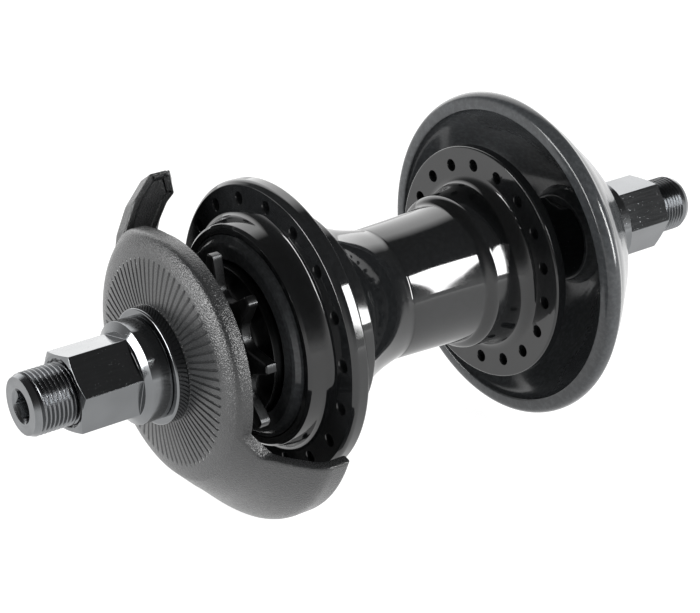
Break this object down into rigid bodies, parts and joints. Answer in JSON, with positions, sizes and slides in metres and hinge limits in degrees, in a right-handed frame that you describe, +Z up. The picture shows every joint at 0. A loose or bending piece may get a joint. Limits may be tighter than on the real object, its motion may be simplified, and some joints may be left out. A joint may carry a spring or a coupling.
{
  "type": "freecoaster_hub",
  "caption": "Freecoaster rear hub for a BMX bicycle: drilled two-flange shell, driver with small sprocket, clutch cone, drag spring, hub guards and axle nuts.",
  "frame": {"origin": "middle of the axle, on its centreline", "axes": "+Y along the axle towards the non-drive side, +X forwards on the bicycle, +Z up"},
  "size_m": [0.0821, 0.1908, 0.0821],
  "materials": {
    "axle_steel": "zinc-nickel plated black steel, machined",
    "nut_chrome": "black chrome plating",
    "guard_plastic": "grained fibre-filled nylon",
    "shell_gloss": "polished, gloss black",
    "disc_gloss": "gloss black",
    "cog_steel": "turned, heat-blackened",
    "bearing_steel": "ground bearing steel",
    "cage_steel": "plain pressed steel",
    "spacer_aluminium": "turned",
    "seal_rubber": "moulded, matt",
    "clutch_steel": "ground steel",
    "slack_plastic": "moulded acetal",
    "spring_steel": "drawn spring wire"
  },
  "bodies": {
    "axle_group": {"axle": "axle_steel", "drive_guard": "guard_plastic", "non_drive_guard": "disc_gloss", "drive_cone_nut": "spacer_aluminium", "non_drive_cone_nut": "nut_chrome", "drive_seal_spacer": "spacer_aluminium", "driver_bearing_spacer": "spacer_aluminium", "non_drive_spacer": "spacer_aluminium", "driver_outer_inner_ring": "bearing_steel", "driver_inner_inner_ring": "bearing_steel", "non_drive_inner_ring": "bearing_steel", "spring_anchor": "clutch_steel", "anchor_circlip": "spring_steel"},
    "shell_group": {"hub_shell": "shell_gloss", "drive_shell_outer_ring": "bearing_steel", "non_drive_outer_ring": "bearing_steel", "drive_dust_ring": "disc_gloss", "non_drive_dust_cap": "seal_rubber"},
    "driver_group": {"driver": "cog_steel", "driver_outer_outer_ring": "bearing_steel", "driver_inner_outer_ring": "bearing_steel", "drive_shell_inner_ring": "bearing_steel", "driver_dust_seal": "seal_rubber", "slack_spacer": "slack_plastic"},
    "spring_group": {"drag_spring": "spring_steel"},
    "clutch_group": {"clutch_cone": "clutch_steel"},
    "driver_outer_rollers": {"driver_outer_balls": "bearing_steel", "driver_outer_cage": "cage_steel"},
    "driver_inner_rollers": {"driver_inner_balls": "bearing_steel", "driver_inner_cage": "cage_steel"},
    "drive_shell_rollers": {"drive_shell_balls": "bearing_steel", "drive_shell_cage": "cage_steel"},
    "non_drive_rollers": {"non_drive_balls": "bearing_steel", "non_drive_cage": "cage_steel"},
    "drive_washer_body": {"drive_washer": "nut_chrome"},
    "drive_nut_body": {"drive_axle_nut": "nut_chrome"},
    "non_drive_washer_body": {"non_drive_washer": "nut_chrome"},
    "non_drive_nut_body": {"non_drive_axle_nut": "nut_chrome"}
  },
  "joints": [
    {"name": "shell_spin", "type": "hinge", "parent": "axle_group", "child": "shell_group", "pos_m": [0, 0, 0], "axis": [0, 1, 0], "continuous": true},
    {"name": "driver_spin", "type": "hinge", "parent": "axle_group", "child": "driver_group", "pos_m": [0, 0, 0], "axis": [0, 1, 0], "continuous": true},
    {"name": "clutch_shift", "type": "slide", "parent": "axle_group", "child": "spring_group", "axis": [0, 1, 0], "range_m": [0, 0.0022]},
    {"name": "clutch_spin", "type": "hinge", "parent": "spring_group", "child": "clutch_group", "pos_m": [0, 0, 0], "axis": [0, 1, 0], "continuous": true},
    {"name": "driver_outer_roll", "type": "hinge", "parent": "axle_group", "child": "driver_outer_rollers", "pos_m": [0, 0, 0], "axis": [0, 1, 0], "continuous": true},
    {"name": "driver_inner_roll", "type": "hinge", "parent": "axle_group", "child": "driver_inner_rollers", "pos_m": [0, 0, 0], "axis": [0, 1, 0], "continuous": true},
    {"name": "drive_shell_roll", "type": "hinge", "parent": "driver_group", "child": "drive_shell_rollers", "pos_m": [0, 0, 0], "axis": [0, 1, 0], "continuous": true},
    {"name": "non_drive_roll", "type": "hinge", "parent": "axle_group", "child": "non_drive_rollers", "pos_m": [0, 0, 0], "axis": [0, 1, 0], "continuous": true},
    {"name": "drive_washer_slide", "type": "slide", "parent": "axle_group", "child": "drive_washer_body", "axis": [0, -1, 0], "range_m": [0, 0.0081]},
    {"name": "drive_nut_turn", "type": "hinge", "parent": "drive_washer_body", "child": "drive_nut_body", "pos_m": [0, 0, 0], "axis": [0, -1, 0], "range_deg": [0, 2880]},
    {"name": "non_drive_washer_slide", "type": "slide", "parent": "axle_group", "child": "non_drive_washer_body", "axis": [0, 1, 0], "range_m": [0, 0.0081]},
    {"name": "non_drive_nut_turn", "type": "hinge", "parent": "non_drive_washer_body", "child": "non_drive_nut_body", "pos_m": [0, 0, 0], "axis": [0, 1, 0], "range_deg": [0, 2880]}
  ],
  "couplings": [
    {"joint": "clutch_spin", "follows": "driver_spin", "ratio": 1},
    {"joint": "driver_outer_roll", "follows": "driver_spin", "ratio": 0.5658},
    {"joint": "driver_inner_roll", "follows": "driver_spin", "ratio": 0.5658},
    {"joint": "drive_shell_roll", "follows": "shell_spin", "ratio": 0.539},
    {"joint": "non_drive_roll", "follows": "shell_spin", "ratio": 0.5905},
    {"joint": "drive_washer_slide", "follows": "drive_nut_turn", "m_per_rad": 0.00015915},
    {"joint": "non_drive_washer_slide", "follows": "non_drive_nut_turn", "m_per_rad": 0.00015915}
  ]
}
